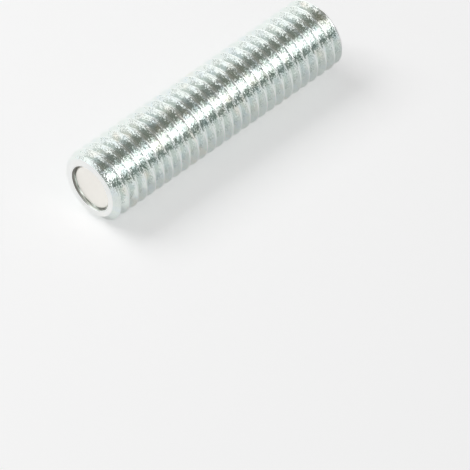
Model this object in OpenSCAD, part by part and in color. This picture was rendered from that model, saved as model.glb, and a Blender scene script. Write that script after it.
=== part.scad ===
// Magnetic threaded stud: a fully threaded steel stud with a disc magnet set into
// one end and a hexagon drive socket in the other. It stands on its socket end,
// with the axis along +Z and the magnet at the top. All sizes are in millimetres.

/* [Stud] */
// Length of the stud from end face to end face
stud_length = 40; // [20:1:60]
// Diameter of the flat face at each end
end_face_d = 8.5; // [7.6:0.1:9]
// Slope of the end chamfers, measured from the axis
chamfer_angle = 45; // [30:1:60]

/* [Thread] */
// Diameter over the crests of the thread
thread_d = 9.75; // [9.5:0.05:12]
// Distance from one turn to the next, right hand
thread_pitch = 1.5; // [1.25:0.05:2]
// Angle between the two flanks of a groove
flank_angle = 60; // [50:1:70]
// Width of the flat on the crests
crest_flat = 0.19; // [0.1:0.01:0.3]
// Width of the flat at the roots
root_flat = 0.25; // [0.15:0.01:0.4]
// Number of facets shared out over the turns of the thread
thread_facets = 9600; // [6000:100:11000]

/* [Magnet] */
// Diameter of the disc magnet
magnet_d = 6; // [4:0.1:6.4]
// Thickness of the disc magnet
magnet_h = 4; // [2:0.1:8]
// Rounding on both edges of the magnet
magnet_edge_r = 0.25; // [0.1:0.05:0.5]
// Depth of the magnet's face below the end face of the stud
magnet_recess = 0.32; // [0.1:0.02:1]
// Gap all round between the magnet and its pocket
magnet_clearance = 0.15; // [0.05:0.01:0.3]
// Width of the broken edge at the mouth of the pocket
pocket_break = 0.1; // [0.05:0.01:0.25]

/* [Drive socket] */
// Width across the flats of the hexagon socket
socket_af = 5; // [3:0.5:5.5]
// Depth of the flats of the socket
socket_depth = 5; // [2.5:0.5:8]
// Angle of the drill point below the flats
socket_point_angle = 120; // [90:1:150]
// Diameter of the countersink at the mouth of the socket
socket_mouth_d = 6.2; // [5.8:0.1:7]

/* [Hidden] */
$fn = 96;

// Thread profile
thread_r = thread_d / 2;
flank_run = (thread_pitch - crest_flat - root_flat) / 2;
root_r = thread_r - flank_run / tan(flank_angle / 2);
// Each corner of one turn's profile as height above the turn's start and radius
turn_profile = [
    [0, thread_r],
    [crest_flat, thread_r],
    [crest_flat + flank_run, root_r],
    [crest_flat + flank_run + root_flat, root_r]
];
corners = len(turn_profile);

// The thread runs past both ends, where the end cuts take off its blunt starts
thread_turns = ceil(stud_length / thread_pitch) + 2;
thread_start_z = -1.5 * thread_pitch;
turn_steps = floor(thread_facets / (2 * corners * thread_turns));
steps = turn_steps * thread_turns;

// How far the cutting tools run past what they cut
cut_over = 1;

// End cuts
end_face_r = end_face_d / 2;
cut_r = thread_r + cut_over;
cut_depth = 2 * thread_pitch;
chamfer_rise = (cut_r - end_face_r) / tan(chamfer_angle);

// Pocket and socket
pocket_d = magnet_d + 2 * magnet_clearance;
pocket_depth = magnet_h + magnet_recess;
socket_corner_d = socket_af / cos(30);
socket_point_h = socket_af / 2 / tan(socket_point_angle / 2);

// Point on the thread's surface, by step along the helix and corner of the profile
function thread_point(step, corner) =
    let (angle = 360 * step / turn_steps)
    let (radius = turn_profile[corner][1])
    let (turn_z = thread_start_z + thread_pitch * step / turn_steps)
    [radius * cos(angle), radius * sin(angle), turn_z + turn_profile[corner][0]];

// Index of such a point, where the corner after the last is the next turn's first
function at(step, corner) =
    corner < corners ? step * corners + corner : (step + turn_steps) * corners;

// Solid threaded bar with blunt starts beyond both ends of the stud
module threaded_bar() {
    last_row = steps + turn_steps;
    bottom_hub = (last_row + 1) * corners;
    top_hub = bottom_hub + 1;
    points = concat(
        [for (step = [0:last_row], corner = [0:corners - 1]) thread_point(step, corner)],
        [[0, 0, thread_start_z + thread_pitch / 2]],
        [[0, 0, thread_start_z + thread_pitch * (thread_turns + 1 / 2)]]
    );
    flanks = [
        for (step = [0:steps - 1], corner = [0:corners - 1], half = [0, 1])
        half == 0
            ? [at(step, corner), at(step, corner + 1), at(step + 1, corner + 1)]
            : [at(step, corner), at(step + 1, corner + 1), at(step + 1, corner)]
    ];
    bottom_ramp = [
        for (step = [0:turn_steps - 1])
        [bottom_hub, at(step, 0), at(step + 1, 0)]
    ];
    bottom_step = [
        for (corner = [0:corners - 1])
        [bottom_hub, at(0, corner + 1), at(0, corner)]
    ];
    top_ramp = [
        for (step = [steps:last_row - 1])
        [top_hub, at(step + 1, 0), at(step, 0)]
    ];
    top_step = [
        for (corner = [0:corners - 1])
        [top_hub, at(steps, corner), at(steps, corner + 1)]
    ];
    polyhedron(points, concat(flanks, bottom_ramp, bottom_step, top_ramp, top_step));
}

// Tool that trims one end of the bar to its flat face and chamfer, at z = 0
module end_cut() {
    rotate_extrude()
        polygon([
            [0, -cut_depth],
            [cut_r, -cut_depth],
            [cut_r, chamfer_rise],
            [end_face_r, 0],
            [0, 0]
        ]);
}

// Round pocket for the magnet, with its mouth at z = 0 and a broken edge
module magnet_pocket() {
    translate([0, 0, -pocket_depth])
        cylinder(d = pocket_d, h = pocket_depth + cut_over);
    translate([0, 0, -pocket_break])
        cylinder(d1 = pocket_d, d2 = pocket_d + 2 * pocket_break, h = pocket_break);
}

// Hexagon socket with its mouth at z = 0, a drill point and a countersink
module drive_socket() {
    translate([0, 0, -cut_over])
        cylinder(d = socket_corner_d, h = socket_depth + cut_over, $fn = 6);
    translate([0, 0, socket_depth])
        cylinder(d1 = socket_af, d2 = 0, h = socket_point_h);
    cylinder(d1 = socket_mouth_d, d2 = 0, h = socket_mouth_d / 2);
}

// Threaded steel body
module stud() {
    color("silver")
        difference() {
            threaded_bar();
            end_cut();
            translate([0, 0, stud_length])
                mirror([0, 0, 1])
                    end_cut();
            translate([0, 0, stud_length])
                magnet_pocket();
            drive_socket();
        }
}

// Plated disc magnet on the floor of its pocket
module magnet() {
    magnet_r = magnet_d / 2;
    color("gainsboro")
        translate([0, 0, stud_length - pocket_depth])
            rotate_extrude()
                union() {
                    square([magnet_r - magnet_edge_r, magnet_h]);
                    translate([0, magnet_edge_r])
                        square([magnet_r, magnet_h - 2 * magnet_edge_r]);
                    for (z = [magnet_edge_r, magnet_h - magnet_edge_r])
                        translate([magnet_r - magnet_edge_r, z])
                            circle(r = magnet_edge_r);
                }
}

stud();
magnet();
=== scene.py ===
"""Looks of a magnetic threaded stud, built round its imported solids.

A zinc-plated steel stud is threaded from end to end. One end holds a nickel-plated
disc magnet a little below its face, and the other has a hexagon drive socket. All
lengths are in metres, in the part's own frame: the axis is +Z with the magnet on top.
"""

import logging
import math
from dataclasses import dataclass
from enum import Enum

import bpy
from mathutils import Matrix, Vector


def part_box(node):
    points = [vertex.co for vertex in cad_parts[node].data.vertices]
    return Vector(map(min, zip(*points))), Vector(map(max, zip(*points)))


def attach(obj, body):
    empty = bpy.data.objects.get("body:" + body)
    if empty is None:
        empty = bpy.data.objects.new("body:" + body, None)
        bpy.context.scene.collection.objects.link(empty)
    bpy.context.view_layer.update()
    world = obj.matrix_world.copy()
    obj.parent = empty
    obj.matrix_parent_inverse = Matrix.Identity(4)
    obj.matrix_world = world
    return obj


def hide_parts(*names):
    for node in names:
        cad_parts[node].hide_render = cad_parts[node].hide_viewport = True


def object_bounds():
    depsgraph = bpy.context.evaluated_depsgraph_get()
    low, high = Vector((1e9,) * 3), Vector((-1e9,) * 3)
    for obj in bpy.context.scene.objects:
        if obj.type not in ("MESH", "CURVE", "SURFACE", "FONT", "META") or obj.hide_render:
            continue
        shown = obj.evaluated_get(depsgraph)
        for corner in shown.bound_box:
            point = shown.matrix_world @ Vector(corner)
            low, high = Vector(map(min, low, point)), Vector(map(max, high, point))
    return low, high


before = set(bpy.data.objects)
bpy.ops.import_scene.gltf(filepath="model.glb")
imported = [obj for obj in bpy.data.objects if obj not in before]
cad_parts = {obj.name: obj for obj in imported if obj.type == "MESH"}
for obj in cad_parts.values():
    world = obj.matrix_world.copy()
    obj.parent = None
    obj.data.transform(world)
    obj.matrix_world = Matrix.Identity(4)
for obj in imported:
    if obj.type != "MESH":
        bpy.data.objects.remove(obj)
CAD_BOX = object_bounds()

LOG = logging.getLogger("stud")
MM = 0.001
BODY = "root"

# How far off its stated place a point still counts as there
NEAR = 0.01 * MM
# Least share of a flat end's normal that points along the axis
FLAT = 0.9
# Half a turn in degrees
HALF_TURN = 180.0
# Sides of the drive socket
HEXAGON = 6

# Layers of detail in a fine noise pattern and in a cloudy one
FINE_DETAIL = 3.0
CLOUDY_DETAIL = 2.0
# Middle of a noise pattern's values, and the range that most of them lie in
NOISE_MIDDLE = 0.5
NOISE_SPAN = (0.3, 0.7)

Span = tuple[float, float]
Colour = tuple[float, float, float, float]
Source = bpy.types.NodeSocket | float | tuple[float, ...]


class Fit(Enum):
    """What a shaping tool does to the piece it meets."""

    CUT = "DIFFERENCE"
    KEEP = "INTERSECT"


class Dress(Enum):
    """Finishes of the stud's faces, by their slot in its mesh."""

    PLATED = 0
    # Painted shade in the pocket's gap round the magnet
    GAP_SHADE = 1
    TURNED = 2
    # Painted shade on the pocket's wall
    WALL_SHADE = 3


class Ray(Enum):
    """Kinds of light path that see the set at its full paleness."""

    CAMERA = "Is Camera Ray"
    GLOSSY = "Is Glossy Ray"
    TRANSMISSION = "Is Transmission Ray"


def around(azimuth: float, reach: float = 1.0, height: float = 0.0) -> Vector:
    """Give a point round the axis.

    Args:
        azimuth: angle in degrees, 0 towards -Y and 90 towards +X.
        reach: distance from the axis.
        height: place along the axis.

    Returns:
        The point in the part's frame.
    """
    turn = math.radians(azimuth)
    return Vector((reach * math.sin(turn), -reach * math.cos(turn), height))


def deselect_all() -> None:
    """Leave every object deselected, in object mode."""
    if bpy.context.object is not None and bpy.context.object.mode != "OBJECT":
        bpy.ops.object.mode_set(mode="OBJECT")
    bpy.ops.object.select_all(action="DESELECT")


def make_only(piece: bpy.types.Object) -> None:
    """Make a piece the only selected and the active object.

    Args:
        piece: the object to select.
    """
    deselect_all()
    piece.select_set(True)
    bpy.context.view_layer.objects.active = piece


def apply_modifier(piece: bpy.types.Object, modifier: bpy.types.Modifier) -> None:
    """Apply one modifier of a piece to its mesh."""
    make_only(piece)
    bpy.ops.object.modifier_apply(modifier=modifier.name)


def finish_shading(piece: bpy.types.Object, angle: float) -> None:
    """Shade a piece smooth across shallow edges, with its flats kept flat.

    Args:
        piece: the object to shade.
        angle: the steepest edge in degrees that is smoothed.
    """
    make_only(piece)
    bpy.ops.object.shade_smooth_by_angle(angle=math.radians(angle))
    weighting = piece.modifiers.new("flat_faces", "WEIGHTED_NORMAL")
    weighting.keep_sharp = True
    apply_modifier(piece, weighting)


def settle(piece: bpy.types.Object) -> None:
    """Put a piece's place and turn into its mesh, with the object at the origin."""
    make_only(piece)
    bpy.ops.object.transform_apply(location=True, rotation=True, scale=True)


def shape_with(piece: bpy.types.Object, tool: bpy.types.Object, fit: Fit) -> None:
    """Shape a piece with a closed tool and throw the tool away.

    Args:
        piece: the object that is shaped.
        tool: the closed mesh that shapes it.
        fit: whether the tool cuts its form away or keeps only what lies inside it.
    """
    settle(tool)
    modifier = piece.modifiers.new(tool.name, "BOOLEAN")
    modifier.operation = fit.value
    modifier.solver = "MANIFOLD"
    modifier.object = tool
    apply_modifier(piece, modifier)
    bpy.data.objects.remove(tool, do_unlink=True)


def select_only(piece: bpy.types.Object, verts: set[int], faces: bool = True) -> None:
    """Select the parts of a mesh that lie wholly on some of its vertices.

    Args:
        piece: the object to select on, in object mode.
        verts: indices of the vertices.
        faces: whether the faces between them are selected too.
    """
    mesh = piece.data
    chosen_faces = [faces and verts.issuperset(face.vertices) for face in mesh.polygons]
    mesh.vertices.foreach_set("select", [vert.index in verts for vert in mesh.vertices])
    mesh.edges.foreach_set("select", [verts.issuperset(edge.vertices) for edge in mesh.edges])
    mesh.polygons.foreach_set("select", chosen_faces)


def bevel_ring(
    piece: bpy.types.Object, radius: float, height: float, width: float, segments: int = 1,
) -> None:
    """Bevel the round edges of a turned piece that lie at one radius and height.

    Args:
        piece: the turned object, with its axis on Z.
        radius: distance of the edge from the axis.
        height: place of the edge along the axis.
        width: how far the bevel reaches from the edge.
        segments: number of faces across the bevel.
    """
    make_only(piece)
    ring = {
        vert.index for vert in piece.data.vertices
        if abs(vert.co.z - height) < NEAR and abs(vert.co.xy.length - radius) < NEAR
    }
    select_only(piece, ring, faces=False)
    bpy.ops.object.mode_set(mode="EDIT")
    bpy.ops.mesh.select_mode(type="EDGE")
    bpy.ops.mesh.bevel(offset=width, segments=segments, profile=0.5)
    bpy.ops.object.mode_set(mode="OBJECT")


def rounded_path(corners: list[tuple[float, float, float]], segments: int) -> list[Vector]:
    """Round the inner corners of an open outline.

    Args:
        corners: radius from the axis, height and rounding of each corner in turn.
        segments: number of straight steps in each rounding.

    Returns:
        The points of the rounded outline.
    """
    places = [Vector((radius, height)) for radius, height, _ in corners]
    path = [places[0]]
    for before, here, after, (_, _, rounding) in zip(places, places[1:], places[2:], corners[1:]):
        into = (here - before).normalized()
        out = (after - here).normalized()
        side = math.copysign(1.0, into.x * out.y - into.y * out.x)
        bend = math.acos(max(-1.0, min(1.0, into.dot(out))))
        start = here - into * rounding * math.tan(bend / 2)
        middle = start + Vector((-into.y, into.x)) * side * rounding
        for step in range(segments + 1):
            swing = Matrix.Rotation(side * bend * step / segments, 2)
            path.append(middle + swing @ (start - middle))
    path.append(places[-1])
    return path


@dataclass(frozen=True)
class AxisPlace:
    """Sockets that give a point's place by its turn round the axis, distance and height."""

    azimuth: bpy.types.NodeSocket
    radius: bpy.types.NodeSocket
    height: bpy.types.NodeSocket


class NodeSheet:
    """Short way to lay out the shader nodes of one material or world."""

    def __init__(
        self, owner: bpy.types.Material | bpy.types.World, output: str = "OutputMaterial",
    ) -> None:
        """Start with an output node alone.

        Args:
            owner: the material or world whose nodes are laid out.
            output: the output node's type, without its ShaderNode prefix.
        """
        owner.use_nodes = True
        self.tree = owner.node_tree
        self.tree.nodes.clear()
        self.output = self.node(output)

    def node(self, kind: str, **settings: object) -> bpy.types.Node:
        """Add a node.

        Args:
            kind: the node's type without its ShaderNode prefix.
            settings: properties of the node to set.

        Returns:
            The new node.
        """
        made = self.tree.nodes.new("ShaderNode" + kind)
        for key, value in settings.items():
            setattr(made, key, value)
        return made

    def feed(self, socket: bpy.types.NodeSocket, source: Source) -> None:
        """Set a socket to a value, or link it to another node's output.

        Args:
            socket: the input to feed.
            source: the value or the output.
        """
        if isinstance(source, bpy.types.NodeSocket):
            self.tree.links.new(source, socket)
        else:
            socket.default_value = source

    def show(self, shader: bpy.types.Node) -> None:
        """Link a shader to the output's surface."""
        self.feed(self.output.inputs["Surface"], shader.outputs[0])

    def math(self, operation: str, *inputs: Source) -> bpy.types.NodeSocket:
        """Work out a number.

        Args:
            operation: the Math node's operation.
            inputs: the numbers or sockets that it works on.

        Returns:
            The result.
        """
        made = self.node("Math", operation=operation)
        for socket, source in zip(made.inputs, inputs):
            self.feed(socket, source)
        return made.outputs[0]

    def noise(self, place: Source, scale: float, detail: float) -> bpy.types.NodeSocket:
        """Lay out a noise pattern.

        Args:
            place: the point where the pattern is read.
            scale: patches in each metre.
            detail: layers of finer detail.

        Returns:
            A value between 0 and 1.
        """
        made = self.node("TexNoise")
        self.feed(made.inputs["Vector"], place)
        made.inputs["Scale"].default_value = scale
        made.inputs["Detail"].default_value = detail
        return made.outputs["Fac"]

    def object_place(self) -> bpy.types.NodeSocket:
        """Give the shaded point in the part's frame."""
        return self.node("TexCoord").outputs["Object"]

    def axis_place(self, place: bpy.types.NodeSocket) -> AxisPlace:
        """Work out a point's place round and along the Z axis.

        Args:
            place: the point in the part's frame.

        Returns:
            Its azimuth in radians, distance from the axis and height.
        """
        split = self.node("SeparateXYZ")
        self.feed(split.inputs[0], place)
        ahead = self.math("MULTIPLY", split.outputs["Y"], -1.0)
        azimuth = self.math("ARCTAN2", split.outputs["X"], ahead)
        flat = self.node("CombineXYZ")
        self.feed(flat.inputs["X"], split.outputs["X"])
        self.feed(flat.inputs["Y"], split.outputs["Y"])
        radius = self.node("VectorMath", operation="LENGTH")
        self.feed(radius.inputs[0], flat.outputs[0])
        return AxisPlace(azimuth, radius.outputs["Value"], split.outputs["Z"])

    def grains(self, place: Source, size: float) -> bpy.types.NodeSocket:
        """Lay out grains.

        Args:
            place: the point where the pattern is read.
            size: about how wide a grain is.

        Returns:
            A colour by chance for each grain.
        """
        made = self.node("TexVoronoi")
        self.feed(made.inputs["Vector"], place)
        made.inputs["Scale"].default_value = 1 / size
        return made.outputs["Color"]

    def tilted_normal(
        self, chance: bpy.types.NodeSocket, tilt: bpy.types.NodeSocket,
        share: tuple[float, float, float],
    ) -> bpy.types.NodeSocket:
        """Tilt the surface's normal by a colour of chance.

        Args:
            chance: colour with each channel between 0 and 1.
            tilt: full span of the tilt, as a slope.
            share: how much of the tilt each direction takes.

        Returns:
            The tilted normal.
        """
        lean = self.node("VectorMath", operation="MULTIPLY_ADD")
        self.feed(lean.inputs[0], chance)
        self.feed(lean.inputs[1], share)
        self.feed(lean.inputs[2], tuple(-part / 2 for part in share))
        tilted = self.node("VectorMath", operation="MULTIPLY_ADD")
        self.feed(tilted.inputs[0], lean.outputs[0])
        self.feed(tilted.inputs[1], tilt)
        self.feed(tilted.inputs[2], self.node("NewGeometry").outputs["Normal"])
        unit = self.node("VectorMath", operation="NORMALIZE")
        self.feed(unit.inputs[0], tilted.outputs[0])
        return unit.outputs[0]

    def spread(
        self, value: Source, span: Span, onto: Span = (0.0, 1.0), curve: str = "LINEAR",
    ) -> bpy.types.NodeSocket:
        """Map a value from one range onto another.

        Args:
            value: the value to map.
            span: the range that it is taken from.
            onto: the range that it is mapped onto.
            curve: the Map Range node's interpolation.

        Returns:
            The mapped value.
        """
        made = self.node("MapRange", interpolation_type=curve)
        self.feed(made.inputs["Value"], value)
        limits = ("From Min", "From Max", "To Min", "To Max")
        for name, limit in zip(limits, (*span, *onto)):
            made.inputs[name].default_value = limit
        return made.outputs["Result"]

    def ease(self, value: Source, full: float, soft: float) -> bpy.types.NodeSocket:
        """Give 1 up to a full value, then fall softly to 0."""
        return self.spread(value, (full, full + soft), onto=(1.0, 0.0), curve="SMOOTHSTEP")

    def blend(self, factor: Source, first: Source, second: Source) -> bpy.types.NodeSocket:
        """Blend two colours.

        Args:
            factor: how far the blend is from the first colour to the second.
            first: the colour at 0.
            second: the colour at 1.

        Returns:
            The blended colour.
        """
        made = self.node("Mix", data_type="RGBA")
        self.feed(made.inputs["Factor"], factor)
        self.feed(made.inputs["A"], first)
        self.feed(made.inputs["B"], second)
        return made.outputs["Result"]


@dataclass(frozen=True)
class ZincFinish:
    """Bright zinc plate with a pale passivation, its grains drawn out along the thread."""

    name: str = "zinc_plate"
    body: Colour = (0.76, 0.82, 0.785, 1.0)
    blue: Colour = (0.735, 0.805, 0.815, 1.0)
    blue_span: Span = (0.45, 0.70)
    straw: Colour = (0.825, 0.805, 0.725, 1.0)
    straw_span: Span = (0.55, 0.75)
    straw_show: float = 0.8
    straw_scale: float = 0.6
    patch_size: float = 1.6 * MM
    crest: Colour = (0.90, 0.955, 0.92, 1.0)
    crest_radius: float = 4.87 * MM
    crest_fade: float = 0.02 * MM
    crest_tilt: float = 0.06
    grain_size: float = 0.12 * MM
    grain_draw: float = 1.4
    grain_radius: float = 4.5 * MM
    grain_tilt: float = 0.24
    grain_share: tuple[float, float, float] = (0.8, 0.8, 1.2)
    grain_dull: Colour = (0.40, 0.44, 0.42, 1.0)
    grain_span: Span = (0.3, 0.8)
    grain_show: float = 0.12
    groove: Colour = (0.62, 0.64, 0.62, 1.0)
    groove_pitch: float = 0.33 * MM
    groove_show: float = 0.0
    roughness: Span = (0.07, 0.13)
    film: float = 0.8

    def grains(self, sheet: NodeSheet, axis: AxisPlace) -> bpy.types.NodeSocket:
        """Lay out the grains, drawn out round the axis.

        Args:
            sheet: the material's nodes.
            axis: the point's place round and along the axis.

        Returns:
            A colour by chance for each grain.
        """
        drawn = sheet.node("CombineXYZ")
        arc = sheet.math("MULTIPLY", axis.azimuth, self.grain_radius / self.grain_draw)
        sheet.feed(drawn.inputs["X"], arc)
        sheet.feed(drawn.inputs["Y"], axis.radius)
        sheet.feed(drawn.inputs["Z"], axis.height)
        return sheet.grains(drawn.outputs[0], self.grain_size)

    def passivation(
        self, sheet: NodeSheet, place: bpy.types.NodeSocket, patch: bpy.types.NodeSocket,
    ) -> bpy.types.NodeSocket:
        """Colour the film with bluish and straw patches.

        Args:
            sheet: the material's nodes.
            place: the point in the part's frame.
            patch: the noise that the bluish patches follow.

        Returns:
            The film's colour.
        """
        tint = sheet.blend(sheet.spread(patch, self.blue_span), self.body, self.blue)
        warm = sheet.noise(place, self.straw_scale / self.patch_size, CLOUDY_DETAIL)
        cover = sheet.spread(warm, self.straw_span, onto=(0.0, self.straw_show))
        return sheet.blend(cover, tint, self.straw)

    def turning_marks(self, sheet: NodeSheet, axis: AxisPlace) -> bpy.types.NodeSocket:
        """Lay out the rings that a turning tool leaves on a flat end.

        Args:
            sheet: the material's nodes.
            axis: the point's place round and along the axis.

        Returns:
            How strongly the rings show.
        """
        turns = sheet.math("MULTIPLY", axis.radius, 2 * math.pi / self.groove_pitch)
        return sheet.spread(sheet.math("SINE", turns), (-1.0, 1.0), onto=(0.0, self.groove_show))

    def material(self) -> bpy.types.Material:
        """Build the finish.

        Returns:
            The zinc material.
        """
        material = bpy.data.materials.new(self.name)
        sheet = NodeSheet(material)
        place = sheet.object_place()
        axis = sheet.axis_place(place)
        patch = sheet.noise(place, 1 / self.patch_size, FINE_DETAIL)
        burnish = sheet.spread(axis.radius, (self.crest_radius - self.crest_fade, self.crest_radius))
        chance = self.grains(sheet, axis)
        tint = self.passivation(sheet, place, patch)
        if self.grain_show:
            dulled = sheet.spread(chance, self.grain_span, onto=(0.0, self.grain_show))
            tint = sheet.blend(dulled, tint, self.grain_dull)
        tint = sheet.blend(burnish, tint, self.crest)
        if self.groove_show:
            tint = sheet.blend(self.turning_marks(sheet, axis), tint, self.groove)
        tilt = sheet.spread(burnish, (0.0, 1.0), onto=(self.grain_tilt, self.crest_tilt))
        normal = sheet.tilted_normal(chance, tilt, self.grain_share)
        shader = sheet.node("BsdfPrincipled")
        shader.inputs["Metallic"].default_value = 1.0
        shader.inputs["Coat Weight"].default_value = self.film
        shader.inputs["Coat Roughness"].default_value = self.roughness[0]
        sheet.feed(shader.inputs["Base Color"], tint)
        sheet.feed(shader.inputs["Roughness"], sheet.spread(patch, NOISE_SPAN, onto=self.roughness))
        sheet.feed(shader.inputs["Normal"], normal)
        sheet.feed(shader.inputs["Coat Normal"], normal)
        sheet.show(shader)
        return material


TURNED_ZINC = ZincFinish(
    name="turned_zinc",
    body=(0.95, 0.955, 0.94, 1.0),
    blue=(0.93, 0.945, 0.945, 1.0),
    straw=(0.955, 0.945, 0.91, 1.0),
    grain_tilt=0.05,
    grain_show=0.0,
    groove_show=0.25,
    roughness=(0.16, 0.24),
)


@dataclass(frozen=True)
class NickelFinish:
    """Satin nickel plate on the magnet."""

    name: str = "nickel_plate"
    face: Colour = (0.95, 0.93, 0.88, 1.0)
    dull: Colour = (0.93, 0.905, 0.855, 1.0)
    grain_size: float = 0.15 * MM
    cloud_scale: float = 0.15
    bump_strength: float = 0.15
    bump_height: float = 0.01 * MM
    roughness: Span = (0.28, 0.42)

    def material(self) -> bpy.types.Material:
        """Build the finish.

        Returns:
            The nickel material.
        """
        material = bpy.data.materials.new(self.name)
        sheet = NodeSheet(material)
        place = sheet.object_place()
        grain = sheet.noise(place, 1 / self.grain_size, FINE_DETAIL)
        cloud = sheet.noise(place, self.cloud_scale / self.grain_size, CLOUDY_DETAIL)
        bump = sheet.node("Bump")
        bump.inputs["Strength"].default_value = self.bump_strength
        bump.inputs["Distance"].default_value = self.bump_height
        sheet.feed(bump.inputs["Height"], grain)
        shader = sheet.node("BsdfPrincipled")
        shader.inputs["Metallic"].default_value = 1.0
        sheet.feed(shader.inputs["Base Color"], sheet.blend(cloud, self.face, self.dull))
        sheet.feed(shader.inputs["Roughness"], sheet.spread(grain, NOISE_SPAN, onto=self.roughness))
        sheet.feed(shader.inputs["Normal"], bump.outputs["Normal"])
        sheet.show(shader)
        return material


@dataclass(frozen=True)
class PocketShadeFinish:
    """Painted shade round the magnet: dark colour, deepest on one side, with a lighter patch to
    either side of it.

    Angles are in degrees. The deepest part's place is an azimuth, and the side patches' is an angle
    from it.
    """

    name: str = "pocket_painted_shade"
    # Painted shade: dark colour that stands for the shade in the pocket's gap and on its wall
    glue: Colour = (0.22, 0.205, 0.18, 1.0)
    bare: Colour = (0.78, 0.82, 0.79, 1.0)
    # Where the painted shade is deepest, and where its lighter side patches lie
    shade_at: float = 140.0
    shade_half: float = 20.0
    shade_soft: float = 25.0
    shade_show: float = 1.0
    side_shade_aside: float = 150.0
    side_shade_half: float = 12.0
    side_shade_soft: float = 15.0
    side_shade_show: float = 0.75
    patch_size: float = 0.5 * MM
    unevenness: float = 30.0
    foot: float = 0.0
    foot_soft: float = 0.14 * MM
    roughness: Span = (0.2, 0.45)

    def cover(self, sheet: NodeSheet) -> bpy.types.NodeSocket:
        """Lay out where the painted shade is.

        Args:
            sheet: the material's nodes.

        Returns:
            A value from 0 on bare metal to 1 under full painted shade.
        """
        place = sheet.object_place()
        axis = sheet.axis_place(place)
        turn = sheet.math("SUBTRACT", sheet.math("DEGREES", axis.azimuth), self.shade_at)
        aside = sheet.math("ABSOLUTE", sheet.math("WRAP", turn, HALF_TURN, -HALF_TURN))
        patch = sheet.noise(place, 1 / self.patch_size, FINE_DETAIL)
        sway = sheet.math("SUBTRACT", patch, NOISE_MIDDLE)
        uneven = sheet.math("MULTIPLY_ADD", sway, self.unevenness, aside)
        # Painted shade, deepest round one azimuth and lighter to either side
        deep_shade = sheet.ease(uneven, self.shade_half, self.shade_soft)
        beside = sheet.math("ABSOLUTE", sheet.math("SUBTRACT", uneven, self.side_shade_aside))
        side_shade = sheet.ease(beside, self.side_shade_half, self.side_shade_soft)
        painted_share = sheet.math(
            "MAXIMUM",
            sheet.math("MULTIPLY", deep_shade, self.shade_show),
            sheet.math("MULTIPLY", side_shade, self.side_shade_show),
        )
        above = sheet.spread(axis.height, (self.foot, self.foot + self.foot_soft))
        return sheet.math("MULTIPLY", painted_share, above)

    def material(self) -> bpy.types.Material:
        """Build the finish.

        Returns:
            The painted shade's material, which leaves bare metal where there is none.
        """
        material = bpy.data.materials.new(self.name)
        sheet = NodeSheet(material)
        cover = self.cover(sheet)
        shader = sheet.node("BsdfPrincipled")
        sheet.feed(shader.inputs["Base Color"], sheet.blend(cover, self.bare, self.glue))
        sheet.feed(shader.inputs["Metallic"], sheet.math("SUBTRACT", 1.0, cover))
        sheet.feed(shader.inputs["Roughness"], sheet.spread(cover, (0.0, 1.0), onto=self.roughness))
        sheet.show(shader)
        return material


@dataclass
class Magnet:
    """Disc magnet with rounded edges, on the floor of its pocket."""

    radius: float
    floor: float
    face: float
    edge_round: float = 0.25 * MM
    edge_steps: int = 6
    sides: int = 128
    smooth_angle: float = 30.0

    @classmethod
    def from_frame(cls) -> "Magnet":
        """Take the disc's sizes from its solid."""
        low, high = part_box("magnet")
        return cls(radius=(high.x - low.x) / 2, floor=low.z, face=high.z)

    def build(self) -> bpy.types.Object:
        """Model the disc.

        Returns:
            The finished piece.
        """
        deselect_all()
        bpy.ops.mesh.primitive_cylinder_add(
            vertices=self.sides, radius=self.radius, depth=self.face - self.floor,
            location=(0, 0, (self.face + self.floor) / 2),
        )
        piece = bpy.context.object
        piece.name = "magnet_disc"
        settle(piece)
        for height in (self.floor, self.face):
            bevel_ring(piece, self.radius, height, self.edge_round, self.edge_steps)
        finish_shading(piece, self.smooth_angle)
        return piece

    def dress(self, piece: bpy.types.Object) -> None:
        """Give the disc its finish and its place on the part.

        Args:
            piece: the finished disc.
        """
        piece.data.materials.append(NickelFinish().material())
        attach(piece, BODY)
        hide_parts("magnet")


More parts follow.
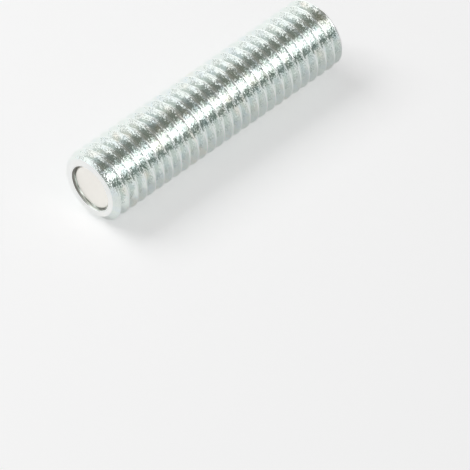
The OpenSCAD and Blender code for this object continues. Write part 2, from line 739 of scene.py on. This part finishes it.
@dataclass
class ThreadedStud:
    """Steel stud with its thread, chamfers, magnet pocket and drive socket."""

    crest_radius: float
    length: float
    magnet_radius: float
    pocket_floor: float
    glue_top: float
    pitch: float = 1.5 * MM
    start_turns: float = -1.5
    spare_turns: int = 2
    flank_angle: float = 60.0
    crest_flat: float = 0.19 * MM
    crest_round: float = 0.03 * MM
    root_flat: float = 0.25 * MM
    root_round: float = 0.21 * MM
    end_face_radius: float = 4.25 * MM
    end_edge_round: float = 0.1 * MM
    magnet_gap: float = 0.15 * MM
    ledge_gap: float = 0.01 * MM
    # How far below the end face the wall's painted shade reaches
    wall_shade_depth: float = 0.32 * MM
    pocket_break: float = 0.1 * MM
    socket_flats: float = 5.0 * MM
    socket_depth: float = 5.0 * MM
    socket_point_angle: float = 120.0
    socket_mouth_radius: float = 3.1 * MM
    over: float = 1.0 * MM
    weld: float = 0.002 * MM
    trim_near: float = 0.0005 * MM
    turn_steps: int = 144
    round_steps: int = 4
    end_edge_steps: int = 3
    sides: int = 192
    smooth_angle: float = 28.0

    @classmethod
    def from_frame(cls) -> "ThreadedStud":
        """Take the stud's driving sizes from the solids.

        Returns:
            The stud at those sizes.
        """
        low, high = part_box("stud")
        magnet_low, magnet_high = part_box("magnet")
        return cls(
            crest_radius=min(-low.x, -low.y, high.x, high.y),
            length=high.z - low.z,
            magnet_radius=(magnet_high.x - magnet_low.x) / 2,
            pocket_floor=magnet_low.z,
            glue_top=magnet_high.z - Magnet.edge_round / 2,
        )

    @property
    def pocket_radius(self) -> float:
        """Radius of the magnet's pocket."""
        return self.magnet_radius + self.magnet_gap

    def turn_outline(self) -> list[Vector]:
        """Draw the thread's outline over one pitch, from mid crest to mid crest.

        Returns:
            Points as distance from the axis and height.
        """
        run = (self.pitch - self.crest_flat - self.root_flat) / 2
        root = self.crest_radius - run / math.tan(math.radians(self.flank_angle / 2))
        half_crest = self.crest_flat / 2
        root_start = half_crest + run
        corners = [
            (self.crest_radius, 0.0, 0.0),
            (self.crest_radius, half_crest, self.crest_round),
            (root, root_start, self.root_round),
            (root, root_start + self.root_flat, self.root_round),
            (self.crest_radius, self.pitch - half_crest, self.crest_round),
            (self.crest_radius, self.pitch, 0.0),
        ]
        return rounded_path(corners, self.round_steps)

    def outline_wire(self) -> bpy.types.Object:
        """Draw one turn's outline as a wire at the start of the helix.

        Returns:
            The wire, which grows into the stud.
        """
        outline = self.turn_outline()
        start = self.start_turns * self.pitch + self.crest_flat / 2
        deselect_all()
        bpy.ops.mesh.primitive_plane_add(size=MM, location=(0, 0, 0))
        wire = bpy.context.object
        wire.name = "threaded_stud"
        bpy.ops.object.mode_set(mode="EDIT")
        bpy.ops.mesh.select_all(action="SELECT")
        bpy.ops.mesh.merge(type="CENTER")
        bpy.ops.transform.translate(value=(outline[0].x, 0, outline[0].y + start))
        for here, after in zip(outline, outline[1:]):
            step = after - here
            bpy.ops.mesh.extrude_vertices_move(TRANSFORM_OT_translate={"value": (step.x, 0, step.y)})
        bpy.ops.object.mode_set(mode="OBJECT")
        return wire

    def threaded_bar(self) -> bpy.types.Object:
        """Sweep the outline along its helix and close the bar at both end planes.

        Returns:
            The bar, as long as the stud.
        """
        bar = self.outline_wire()
        sweep = bar.modifiers.new("helix", "SCREW")
        sweep.axis = "Z"
        sweep.angle = 2 * math.pi
        sweep.screw_offset = self.pitch
        sweep.iterations = math.ceil(self.length / self.pitch) + self.spare_turns
        sweep.steps = self.turn_steps
        sweep.render_steps = self.turn_steps
        sweep.use_merge_vertices = False
        apply_modifier(bar, sweep)
        bpy.ops.object.mode_set(mode="EDIT")
        bpy.ops.mesh.select_all(action="SELECT")
        bpy.ops.mesh.remove_doubles(threshold=self.weld)
        for height, normal in ((0.0, -1.0), (self.length, 1.0)):
            bpy.ops.mesh.select_all(action="SELECT")
            bpy.ops.mesh.bisect(
                plane_co=(0, 0, height), plane_no=(0, 0, normal), use_fill=True, clear_outer=True,
                threshold=self.trim_near,
            )
        bpy.ops.mesh.select_all(action="SELECT")
        bpy.ops.mesh.normals_make_consistent(inside=False)
        bpy.ops.object.mode_set(mode="OBJECT")
        return bar

    def end_form(self) -> bpy.types.Object:
        """Model the chamfered outside that both ends are trimmed to.

        Returns:
            The closed tool, as long as the stud.
        """
        reach = self.crest_radius + self.over
        chamfer = reach - self.end_face_radius
        bpy.ops.mesh.primitive_cylinder_add(
            vertices=self.sides, radius=reach, depth=self.length,
            location=(0, 0, self.length / 2),
        )
        tool = bpy.context.object
        tool.name = "end_form"
        settle(tool)
        for height in (0.0, self.length):
            bevel_ring(tool, reach, height, chamfer)
            bevel_ring(
                tool, self.end_face_radius, height, self.end_edge_round, self.end_edge_steps,
            )
        return tool

    def pocket_tool(self) -> bpy.types.Object:
        """Model the round pocket, with a narrow ledge round the magnet and a broken edge at its
        mouth.

        Returns:
            The closed tool, which runs past the end of the stud.
        """
        ledge_radius = self.magnet_radius + self.ledge_gap
        bpy.ops.mesh.primitive_cylinder_add(
            vertices=self.sides, radius=ledge_radius, depth=self.glue_top - self.pocket_floor,
            location=(0, 0, (self.glue_top + self.pocket_floor) / 2),
        )
        tool = bpy.context.object
        tool.name = "pocket"
        settle(tool)
        top = {vert.index for vert in tool.data.vertices if vert.co.z > self.glue_top - NEAR}
        select_only(tool, top)
        wall = self.length - self.pocket_break - self.glue_top - self.ledge_gap
        rises = (
            (self.ledge_gap, self.pocket_radius / ledge_radius),
            (wall, 1.0),
            (self.pocket_break, 1 + self.pocket_break / self.pocket_radius),
            (self.over, 1.0),
        )
        bpy.ops.object.mode_set(mode="EDIT")
        bpy.ops.mesh.select_mode(type="FACE")
        for rise, widening in rises:
            bpy.ops.mesh.extrude_region_move(TRANSFORM_OT_translate={"value": (0, 0, rise)})
            bpy.ops.transform.resize(value=(widening, widening, 1))
        bpy.ops.object.mode_set(mode="OBJECT")
        return tool

    def socket_tools(self) -> list[bpy.types.Object]:
        """Model the hexagon, its drill point and its countersink.

        Returns:
            The closed tools.
        """
        point = self.socket_flats / 2 / math.tan(math.radians(self.socket_point_angle / 2))
        mouth = self.socket_mouth_radius + self.over
        tools = []
        bpy.ops.mesh.primitive_cylinder_add(
            vertices=HEXAGON, radius=self.socket_flats / math.sqrt(3),
            depth=self.socket_depth + self.over,
            location=(0, 0, (self.socket_depth - self.over) / 2),
            rotation=(0, 0, math.pi / HEXAGON),
        )
        tools.append(bpy.context.object)
        bpy.ops.mesh.primitive_cone_add(
            vertices=self.sides, radius1=self.socket_flats / 2, radius2=0, depth=point,
            location=(0, 0, self.socket_depth + point / 2),
        )
        tools.append(bpy.context.object)
        bpy.ops.mesh.primitive_cone_add(
            vertices=self.sides, radius1=mouth, radius2=0, depth=mouth,
            location=(0, 0, mouth / 2 - self.over),
        )
        tools.append(bpy.context.object)
        for tool, name in zip(tools, ("hexagon", "drill_point", "countersink")):
            tool.name = name
        return tools

    def build(self) -> bpy.types.Object:
        """Model the stud.

        Returns:
            The finished piece.
        """
        piece = self.threaded_bar()
        shape_with(piece, self.end_form(), Fit.KEEP)
        shape_with(piece, self.pocket_tool(), Fit.CUT)
        for tool in self.socket_tools():
            shape_with(piece, tool, Fit.CUT)
        finish_shading(piece, self.smooth_angle)
        return piece

    def wall_shade_finish(self) -> PocketShadeFinish:
        """Give the painted shade on the pocket's wall, above a bare foot.

        Returns:
            The wall's finish.
        """
        return PocketShadeFinish(
            name="wall_painted_shade",
            shade_at=160.0,
            shade_half=50.0,
            shade_soft=45.0,
            shade_show=0.8,
            side_shade_show=0.0,
            foot=self.length - self.wall_shade_depth,
        )

    def face_dress(self, centre: Vector, normal: Vector) -> Dress:
        """Tell a face's finish by its place.

        Args:
            centre: the middle of the face.
            normal: the face's normal.

        Returns:
            The finish.
        """
        from_end = min(centre.z, self.length - centre.z)
        if from_end < NEAR and abs(normal.z) > FLAT:
            return Dress.TURNED
        in_pocket = centre.xy.length < self.pocket_radius + self.pocket_break
        # Painted shade on the ledge round the magnet
        if in_pocket and self.pocket_floor - NEAR < centre.z < self.glue_top + NEAR:
            return Dress.GAP_SHADE
        # Painted shade on the pocket's wall above the ledge
        if in_pocket and self.glue_top + NEAR <= centre.z < self.length - NEAR:
            return Dress.WALL_SHADE
        return Dress.PLATED

    def dress(self, piece: bpy.types.Object) -> None:
        """Give the stud its finishes and its place on the part.

        Args:
            piece: the finished stud.
        """
        finishes = {
            Dress.PLATED: ZincFinish(),
            # Painted shade in the pocket's gap
            Dress.GAP_SHADE: PocketShadeFinish(),
            Dress.TURNED: TURNED_ZINC,
            # Painted shade on the pocket's wall
            Dress.WALL_SHADE: self.wall_shade_finish(),
        }
        piece.data.materials.clear()
        for dress in Dress:
            piece.data.materials.append(finishes[dress].material())
        for face in piece.data.polygons:
            face.material_index = self.face_dress(face.center, face.normal).value
        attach(piece, BODY)
        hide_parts("stud")


@dataclass(frozen=True)
class PhotoView:
    """Place of the camera that gives the photograph's view of the stud."""

    azimuth: float = 42.0
    elevation: float = 29.61
    roll: float = -124.83
    distance: float = 706.6 * MM
    focal_px: float = 5641.4
    image_px: float = 470.0
    middle_px: tuple[float, float] = (205.6, 108.5)
    sensor: float = 36.0
    nearest: float = 0.01
    farthest: float = 20.0

    def turn(self, back: Vector) -> Matrix:
        """Work out the camera's turn, with the stud's middle at its place in the picture.

        Args:
            back: direction from the stud to the camera.

        Returns:
            The turn.
        """
        half = self.image_px / 2
        across, down = self.middle_px
        seen = Vector((across - half, half - down, -self.focal_px)).normalized()
        aside = Vector((0, 0, -1)).rotation_difference(seen).to_matrix()
        look = (-back).to_track_quat("-Z", "Y").to_matrix()
        spin = Matrix.Rotation(math.radians(self.roll), 3, "Z")
        return look @ spin @ aside.transposed()

    def build(self) -> bpy.types.Object:
        """Make the camera.

        Returns:
            The camera object.
        """
        low, high = CAD_BOX
        middle = (low + high) / 2
        rise = math.radians(self.elevation)
        back = around(self.azimuth, math.cos(rise), math.sin(rise))
        data = bpy.data.cameras.new("photo_camera")
        data.sensor_width = self.sensor
        data.lens = self.sensor * self.focal_px / self.image_px
        data.clip_start = self.nearest
        data.clip_end = self.farthest
        camera = bpy.data.objects.new("photo_camera", data)
        bpy.context.scene.collection.objects.link(camera)
        place = Matrix.Translation(middle + back * self.distance)
        camera.matrix_world = place @ self.turn(back).to_4x4()
        bpy.context.scene.camera = camera
        return camera


def show_in_reflections(thing: bpy.types.Object) -> None:
    """Let only glossy rays see a thing of the set."""
    for ray in ("camera", "diffuse", "shadow", "transmission"):
        setattr(thing, "visible_" + ray, False)


@dataclass(frozen=True)
class Shade:
    """Patch of the cloth with a level of its own and soft edges.

    Its angle in degrees runs from overhead towards the camera, and its height along the axis.
    """

    angle: float
    half_angle: float
    soft_angle: float
    colour: Colour
    height: float = 0.0
    half_height: float = 9.0
    soft_height: float = 0.05


SHADES = (
    # Slightly dimmer cloth on the side away from the camera
    Shade(
        angle=-60.0, half_angle=30.0, soft_angle=12.0, colour=(0.82, 0.83, 0.82, 1.0),
        half_height=0.12, soft_height=0.03,
    ),
    Shade(
        angle=-88.0, half_angle=5.0, soft_angle=6.0, colour=(0.78, 0.79, 0.78, 1.0),
        height=0.25, half_height=0.12, soft_height=0.1,
    ),
    # Dark stripe past the top of the thread
    Shade(
        angle=-10.0, half_angle=8.0, soft_angle=28.0, colour=(0.28, 0.28, 0.26, 1.0),
        height=0.17, half_height=0.306, soft_height=0.03,
    ),
    Shade(angle=1.0, half_angle=8.0, soft_angle=18.0, colour=(0.275, 0.275, 0.245, 1.0)),
    # Long highlight
    Shade(angle=42.4, half_angle=8.6, soft_angle=6.0, colour=(2.2, 2.16, 2.18, 1.0)),
    # Dark stripe on the camera's side
    Shade(angle=75.0, half_angle=6.0, soft_angle=13.0, colour=(0.195, 0.23, 0.21, 1.0)),
    # Dim cloth far beyond the magnet's end
    Shade(
        angle=0.0, half_angle=360.0, soft_angle=1.0, colour=(0.35, 0.36, 0.36, 1.0),
        height=1.6, half_height=0.7, soft_height=0.3,
    ),
)


@dataclass(frozen=True)
class Tent:
    """Graded cloth round the stud, which only reflections show."""

    up: float
    shades: tuple[Shade, ...] = SHADES
    reach: float = 0.3
    length: float = 4.0
    height: float = 0.15
    colour: Colour = (1.25, 1.25, 1.25, 1.0)
    sides: int = 96

    def cloth(self) -> bpy.types.Material:
        """Build the cloth's glow.

        Returns:
            The material, graded round and along the axis.
        """
        material = bpy.data.materials.new("tent_cloth")
        sheet = NodeSheet(material)
        place = sheet.axis_place(sheet.object_place())
        angle = sheet.math("SUBTRACT", self.up, sheet.math("DEGREES", place.azimuth))
        colour = self.colour
        for shade in self.shades:
            aside = sheet.math("ABSOLUTE", sheet.math("SUBTRACT", angle, shade.angle))
            across = sheet.ease(aside, shade.half_angle, shade.soft_angle)
            above = sheet.math("ABSOLUTE", sheet.math("SUBTRACT", place.height, shade.height))
            along = sheet.ease(above, shade.half_height, shade.soft_height)
            colour = sheet.blend(sheet.math("MULTIPLY", across, along), colour, shade.colour)
        glow = sheet.node("Emission")
        sheet.feed(glow.inputs["Color"], colour)
        sheet.show(glow)
        return material

    def build(self) -> bpy.types.Object:
        """Hang the cloth.

        Returns:
            The cloth object.
        """
        deselect_all()
        bpy.ops.mesh.primitive_cylinder_add(
            vertices=self.sides, radius=self.reach, depth=self.length, end_fill_type="NOTHING",
            location=(0, 0, self.height),
        )
        tent = bpy.context.object
        tent.name = "tent"
        settle(tent)
        tent.data.materials.append(self.cloth())
        show_in_reflections(tent)
        return tent


@dataclass(frozen=True)
class DarkCard:
    """Small card behind the far end, which only reflections show."""

    size: float = 24.0 * MM
    behind: float = 12.0 * MM
    level: float = 0.04

    def build(self) -> bpy.types.Object:
        """Stand the card across the axis.

        Returns:
            The card.
        """
        deselect_all()
        bpy.ops.mesh.primitive_plane_add(size=self.size, location=(0, 0, -self.behind))
        card = bpy.context.object
        card.name = "dark_card"
        material = bpy.data.materials.new("dark_card")
        sheet = NodeSheet(material)
        glow = sheet.node("Emission")
        glow.inputs["Strength"].default_value = self.level
        sheet.show(glow)
        card.data.materials.append(material)
        show_in_reflections(card)
        return card


@dataclass(frozen=True)
class Softbox:
    """Soft light that faces the stud's axis."""

    name: str
    azimuth: float
    reach: float
    width: float
    length: float
    height: float
    radiance: float

    def build(self) -> bpy.types.Object:
        """Hang the light.

        Returns:
            The light object.
        """
        data = bpy.data.lights.new(self.name, "AREA")
        data.shape = "RECTANGLE"
        data.size = self.width
        data.size_y = self.length
        data.energy = self.radiance * math.pi * self.width * self.length
        light = bpy.data.objects.new(self.name, data)
        bpy.context.scene.collection.objects.link(light)
        turn = around(self.azimuth).to_track_quat("Z", "Y").to_matrix().to_4x4()
        place = Matrix.Translation(around(self.azimuth, self.reach, self.height))
        light.matrix_world = place @ turn
        light.visible_camera = False
        light.visible_glossy = False
        return light


@dataclass
class Studio:
    """Pale table that the stud lies on, soft light and pale surroundings."""

    view: PhotoView
    rest_radius: float
    length: float
    lean: float = 35.2
    key_swing: float = 40.0
    table_size: float = 4.0
    table_colour: Colour = (0.9, 0.9, 0.9, 1.0)
    lift: float = 0.43
    mirrored_lift: float = 0.39
    # Painted shade that reflections see on the table beside and under the stud
    mirrored_painted_shade: float = 0.12
    painted_shade_reach: float = 10.0 * MM
    painted_shade_fade: float = 2.0 * MM
    # Painted light: a brighter band of table behind the stud that reflections see
    painted_back_light: float = 0.18
    pale: float = 0.92
    ambient: float = 0.25

    @property
    def up(self) -> float:
        """Azimuth of the table's upward normal."""
        return self.view.azimuth + self.lean

    def key_light(self) -> Softbox:
        """Give the light that throws the shadow, from behind the stud.

        Returns:
            The light, still to be hung.
        """
        return Softbox(
            name="key_light",
            azimuth=self.up + self.key_swing,
            reach=0.6,
            width=0.36,
            length=0.40,
            height=0.2,
            radiance=3.6,
        )

    def table(self) -> bpy.types.Object:
        """Lay the table along the stud's side.

        Returns:
            The table, which is seen from its upper side alone.
        """
        deselect_all()
        bpy.ops.mesh.primitive_plane_add(size=self.table_size)
        table = bpy.context.object
        table.name = "table"
        normal = around(self.up)
        turn = normal.to_track_quat("Z", "Y").to_matrix().to_4x4()
        table.matrix_world = Matrix.Translation(normal * -self.rest_radius) @ turn
        table.data.materials.append(self.table_material())
        return table

    def table_glow(self, sheet: NodeSheet) -> bpy.types.NodeSocket:
        """Work out how far the table top is lifted to a paler level. Reflections see a painted shade
        on it beside and under the stud, and a painted brighter band behind it.

        Args:
            sheet: the material's nodes.

        Returns:
            The lift where eye or metal sees the table, and 0 for other light.
        """
        path = sheet.node("LightPath")
        place = sheet.node("SeparateXYZ")
        sheet.feed(place.inputs[0], sheet.object_place())
        # Painted shade: the lift that reflections see drops beside and under the stud
        beside = sheet.ease(sheet.math("ABSOLUTE", place.outputs["X"]), 0.0, self.painted_shade_reach)
        past = sheet.ease(place.outputs["Y"], self.length, self.painted_shade_fade)
        under = sheet.math("MULTIPLY", beside, past)
        # Painted light: a brighter band of table behind the stud, seen only in reflections
        behind = (self.painted_shade_reach / 2, 2 * self.painted_shade_reach)
        back = sheet.spread(place.outputs["X"], behind, onto=(0.0, self.painted_back_light))
        plain = sheet.math("ADD", back, self.mirrored_lift)
        shade_painted_lift = sheet.math("MULTIPLY_ADD", under, -self.mirrored_painted_shade, plain)
        mirrored = sheet.math("MULTIPLY", path.outputs[Ray.GLOSSY.value], shade_painted_lift)
        return sheet.math("MULTIPLY_ADD", path.outputs[Ray.CAMERA.value], self.lift, mirrored)

    def table_material(self) -> bpy.types.Material:
        """Build the pale table top, lifted where it is seen and clear from below.

        Returns:
            The table's material.
        """
        material = bpy.data.materials.new("table_top")
        sheet = NodeSheet(material)
        top = sheet.node("BsdfDiffuse")
        top.inputs["Color"].default_value = self.table_colour
        glow = sheet.node("Emission")
        sheet.feed(glow.inputs["Strength"], self.table_glow(sheet))
        lit = sheet.node("AddShader")
        sheet.feed(lit.inputs[0], top.outputs[0])
        sheet.feed(lit.inputs[1], glow.outputs[0])
        clear = sheet.node("BsdfTransparent")
        pick = sheet.node("MixShader")
        sheet.feed(pick.inputs[0], sheet.node("NewGeometry").outputs["Backfacing"])
        sheet.feed(pick.inputs[1], lit.outputs[0])
        sheet.feed(pick.inputs[2], clear.outputs[0])
        sheet.show(pick)
        return material

    def surroundings(self) -> None:
        """Set a plain world that eye and metal see as pale."""
        world = bpy.data.worlds.new("surroundings")
        bpy.context.scene.world = world
        sheet = NodeSheet(world, "OutputWorld")
        path = sheet.node("LightPath")
        seen = 0.0
        for ray in Ray:
            seen = sheet.math("MAXIMUM", path.outputs[ray.value], seen)
        back = sheet.node("Background")
        back.inputs["Color"].default_value = (1.0, 1.0, 1.0, 1.0)
        level = sheet.spread(seen, (0.0, 1.0), onto=(self.ambient, self.pale))
        sheet.feed(back.inputs["Strength"], level)
        sheet.show(back)

    def build(self) -> None:
        """Set the table, the cloth, the card, the light and the surroundings."""
        self.surroundings()
        for thing in (
            self.table(), Tent(up=self.up).build(), DarkCard().build(), self.key_light().build(),
        ):
            LOG.info("%s: set", thing.name)


def main() -> None:
    """Build the pieces, the view and the studio in order."""
    logging.basicConfig(level=logging.INFO, format="%(name)s: %(message)s")
    bpy.context.scene.view_settings.view_transform = "Standard"
    for builder in (ThreadedStud.from_frame(), Magnet.from_frame()):
        piece = builder.build()
        builder.dress(piece)
        LOG.info("%s: %d faces", piece.name, len(piece.data.polygons))
    view = PhotoView()
    LOG.info("%s: set", view.build().name)
    _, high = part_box("stud")
    Studio(view=view, rest_radius=high.x, length=high.z).build()


if __name__ == "__main__":
    main()
